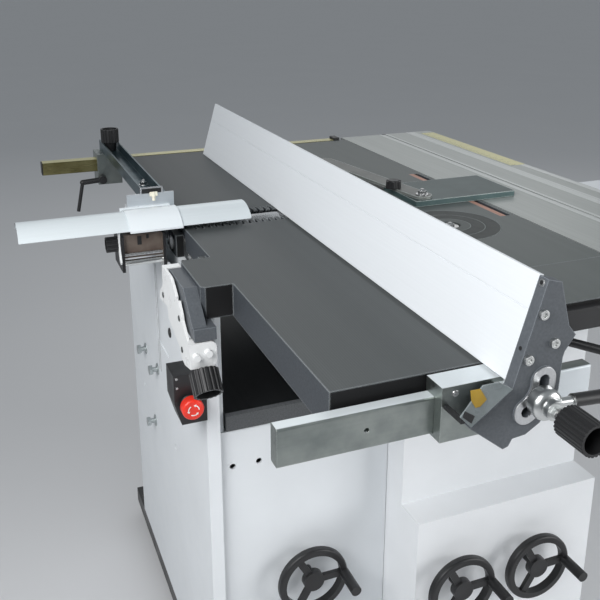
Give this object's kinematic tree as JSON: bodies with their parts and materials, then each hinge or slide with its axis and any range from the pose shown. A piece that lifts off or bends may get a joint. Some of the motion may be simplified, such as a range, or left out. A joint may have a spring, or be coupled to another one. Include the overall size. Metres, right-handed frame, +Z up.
{
  "type": "combination woodworking machine",
  "caption": "Combination woodworking machine with planer and thicknesser, tilting fence, bridge guard, circular saw, spindle moulder and sliding table on one base.",
  "frame": {"origin": "on the floor, below the middle of the machine's bounding box", "axes": "+X from the planer towards the sliding table, +Y along the tables away from the infeed end, +Z up"},
  "size_m": [1.192, 1.4, 0.9864],
  "materials": {
    "white_paint": "powder coat",
    "lever_paint": "gloss paint",
    "black_paint": "satin paint",
    "motor_paint": "satin paint",
    "machined_iron": "milled",
    "bracket_iron": "painted casting",
    "zinc_steel": "zinc plated",
    "blue_zinc": "blue zinc plated",
    "yellow_zinc": "yellow zinc plated",
    "holder_steel": "browned",
    "bright_steel": "ground",
    "bright_aluminium": "turned",
    "fence_aluminium": "anodised",
    "guard_aluminium": "anodised",
    "carriage_aluminium": "anodised",
    "black_plastic": "moulded",
    "red_plastic": "moulded",
    "insert_wood": "sawn",
    "black_rubber": "moulded"
  },
  "bodies": {
    "machine": {"base_plinth": "black_paint", "levelling_feet": "black_rubber", "frame_plates": "white_paint", "planer_side_panel": "white_paint", "frame_bolts": "zinc_steel", "planer_near_panel": "white_paint", "planer_far_panel": "white_paint", "bearing_housings": "machined_iron", "outfeed_table": "machined_iron", "planer_motor": "motor_paint", "drive_belt": "black_rubber", "lift_guides": "bright_steel", "saw_cabinet": "white_paint", "saw_table": "machined_iron", "table_extension": "machined_iron", "front_rail": "black_paint", "slot_insert": "insert_wood", "spindle_rings": "machined_iron", "slide_beam": "carriage_aluminium", "support_brackets": "white_paint", "guard_rail": "yellow_zinc", "estop_box": "black_plastic"},
    "infeed": {"infeed_table": "machined_iron", "infeed_arm": "bracket_iron", "fence_guide_bar": "zinc_steel"},
    "infeed_lever": {"infeed_lever": "lever_paint"},
    "lever_knob": {"lever_knob": "black_plastic"},
    "cutter": {"cutterblock": "bright_steel", "planer_knives": "bright_steel"},
    "motor_pulley": {"motor_pulley": "bright_aluminium"},
    "infeed_roller": {"infeed_roller": "bright_steel"},
    "outfeed_roller": {"outfeed_roller": "bright_steel"},
    "thicknesser_bed": {"thicknesser_bed": "machined_iron"},
    "bed_handwheel": {"bed_handwheel": "black_plastic"},
    "saw_unit": {"saw_unit": "motor_paint"},
    "saw_blade": {"saw_blade": "bright_steel"},
    "saw_handwheel": {"saw_handwheel": "black_plastic"},
    "spindle_unit": {"spindle_unit": "motor_paint"},
    "spindle_shaft": {"spindle_shaft": "bright_steel"},
    "spindle_handwheel": {"spindle_handwheel": "black_plastic"},
    "saw_cover": {"saw_cover": "zinc_steel", "cover_arm": "zinc_steel"},
    "sliding_table": {"sliding_carriage": "carriage_aluminium", "outrigger_bracket": "white_paint"},
    "fence_carriage": {"fence_carriage": "zinc_steel", "fence_clamp_bolt": "bright_steel"},
    "fence": {"fence_profile": "fence_aluminium", "fence_bracket": "bracket_iron", "fence_screws": "zinc_steel"},
    "fence_clamp_lever": {"fence_clamp_lever": "zinc_steel"},
    "fence_knob": {"fence_knob": "black_plastic"},
    "guard_carriage": {"guard_clamp": "zinc_steel", "guard_arm": "blue_zinc", "guard_holder": "holder_steel"},
    "clamp_knob": {"clamp_knob": "black_plastic"},
    "clamp_handle": {"clamp_handle": "black_plastic"},
    "guard_sleeve": {"guard_sleeve": "lever_paint"},
    "guard_profile": {"guard_profile": "guard_aluminium"},
    "height_knob": {"height_knob": "black_plastic"},
    "estop_button": {"estop_button": "red_plastic"}
  },
  "joints": [
    {"name": "infeed_height", "type": "slide", "parent": "machine", "child": "infeed", "axis": [0, 0, 1], "range_m": [0, 0.003]},
    {"name": "infeed_lever_swing", "type": "hinge", "parent": "infeed", "child": "infeed_lever", "pos_m": [-0.402, -0.128, 0.85], "axis": [1, 0, 0], "range_deg": [0, 8]},
    {"name": "lever_knob_turn", "type": "hinge", "parent": "infeed_lever", "child": "lever_knob", "pos_m": [-0.382, -0.2295, 0.7525], "axis": [0, -0.7071, -0.7071], "continuous": true},
    {"name": "cutter_spin", "type": "hinge", "parent": "machine", "child": "cutter", "pos_m": [-0.19, 0.101, 0.835], "axis": [1, 0, 0], "continuous": true},
    {"name": "motor_spin", "type": "hinge", "parent": "machine", "child": "motor_pulley", "pos_m": [0, 0.101, 0.25], "axis": [1, 0, 0], "continuous": true},
    {"name": "infeed_roller_spin", "type": "hinge", "parent": "machine", "child": "infeed_roller", "pos_m": [-0.192, 0.043, 0.812], "axis": [1, 0, 0], "continuous": true},
    {"name": "outfeed_roller_spin", "type": "hinge", "parent": "machine", "child": "outfeed_roller", "pos_m": [-0.192, 0.159, 0.812], "axis": [1, 0, 0], "continuous": true},
    {"name": "bed_height", "type": "slide", "parent": "machine", "child": "thicknesser_bed", "axis": [0, 0, 1], "range_m": [0, 0.16]},
    {"name": "bed_handwheel_turn", "type": "hinge", "parent": "machine", "child": "bed_handwheel", "pos_m": [-0.192, -0.17, 0.3], "axis": [0, 1, 0], "continuous": true},
    {"name": "saw_height", "type": "slide", "parent": "machine", "child": "saw_unit", "axis": [0, 0, 1], "range_m": [0, 0.037]},
    {"name": "saw_spin", "type": "hinge", "parent": "saw_unit", "child": "saw_blade", "pos_m": [0.219, 0.09, 0.715], "axis": [1, 0, 0], "continuous": true},
    {"name": "saw_handwheel_turn", "type": "hinge", "parent": "machine", "child": "saw_handwheel", "pos_m": [0.03, -0.283, 0.3], "axis": [0, 1, 0], "continuous": true},
    {"name": "spindle_height", "type": "slide", "parent": "machine", "child": "spindle_unit", "axis": [0, 0, 1], "range_m": [0, 0.08]},
    {"name": "spindle_spin", "type": "hinge", "parent": "spindle_unit", "child": "spindle_shaft", "pos_m": [0.094, -0.087, 0.8], "axis": [0, 0, 1], "continuous": true},
    {"name": "spindle_handwheel_turn", "type": "hinge", "parent": "machine", "child": "spindle_handwheel", "pos_m": [0.18, -0.283, 0.3], "axis": [0, 1, 0], "continuous": true},
    {"name": "cover_swing", "type": "hinge", "parent": "machine", "child": "saw_cover", "pos_m": [0.066, 0.38, 0.88], "axis": [0, 0, 1], "range_deg": [0, 60]},
    {"name": "table_slide", "type": "slide", "parent": "machine", "child": "sliding_table", "axis": [0, 1, 0], "range_m": [-0.45, 0.45]},
    {"name": "fence_slide", "type": "slide", "parent": "infeed", "child": "fence_carriage", "axis": [1, 0, 0], "range_m": [-0.06, 0.085]},
    {"name": "fence_tilt", "type": "hinge", "parent": "fence_carriage", "child": "fence", "pos_m": [-0.148, -0.58, 0.871], "axis": [0, 1, 0], "range_deg": [-16, 29]},
    {"name": "fence_clamp_turn", "type": "hinge", "parent": "fence_carriage", "child": "fence_clamp_lever", "pos_m": [-0.11662, -0.62, 0.85139], "axis": [0, 1, 0], "range_deg": [-60, 30]},
    {"name": "fence_knob_turn", "type": "hinge", "parent": "fence_carriage", "child": "fence_knob", "pos_m": [-0.11662, -0.66, 0.85139], "axis": [0, 1, 0], "continuous": true},
    {"name": "guard_slide", "type": "slide", "parent": "machine", "child": "guard_carriage", "axis": [1, 0, 0], "range_m": [-0.1, 0]},
    {"name": "clamp_knob_turn", "type": "hinge", "parent": "guard_carriage", "child": "clamp_knob", "pos_m": [-0.352, 0.66, 0.91], "axis": [0, 0, 1], "continuous": true},
    {"name": "clamp_handle_turn", "type": "hinge", "parent": "guard_carriage", "child": "clamp_handle", "pos_m": [-0.379, 0.63, 0.8252], "axis": [0, 1, 0], "range_deg": [-40, 40]},
    {"name": "guard_height", "type": "slide", "parent": "guard_carriage", "child": "guard_sleeve", "axis": [0, 0, 1], "range_m": [0, 0.05]},
    {"name": "guard_reach", "type": "slide", "parent": "guard_sleeve", "child": "guard_profile", "axis": [1, 0, 0], "range_m": [-0.15, 0.05]},
    {"name": "height_knob_turn", "type": "hinge", "parent": "guard_carriage", "child": "height_knob", "pos_m": [-0.45, 0.08, 0.85], "axis": [1, 0, 0], "continuous": true},
    {"name": "estop_press", "type": "slide", "parent": "machine", "child": "estop_button", "axis": [0, 1, 0], "range_m": [0, 0.004], "stiffness_N_per_m": 900}
  ],
  "couplings": [
    {"joint": "infeed_lever_swing", "follows": "infeed_height", "rad_per_m": 46.542},
    {"joint": "motor_spin", "follows": "cutter_spin", "ratio": 0.5},
    {"joint": "outfeed_roller_spin", "follows": "infeed_roller_spin", "ratio": 1},
    {"joint": "bed_handwheel_turn", "follows": "bed_height", "rad_per_m": 628.32},
    {"joint": "saw_handwheel_turn", "follows": "saw_height", "rad_per_m": 628.32},
    {"joint": "spindle_handwheel_turn", "follows": "spindle_height", "rad_per_m": 628.32},
    {"joint": "height_knob_turn", "follows": "guard_height", "rad_per_m": 628.32}
  ]
}
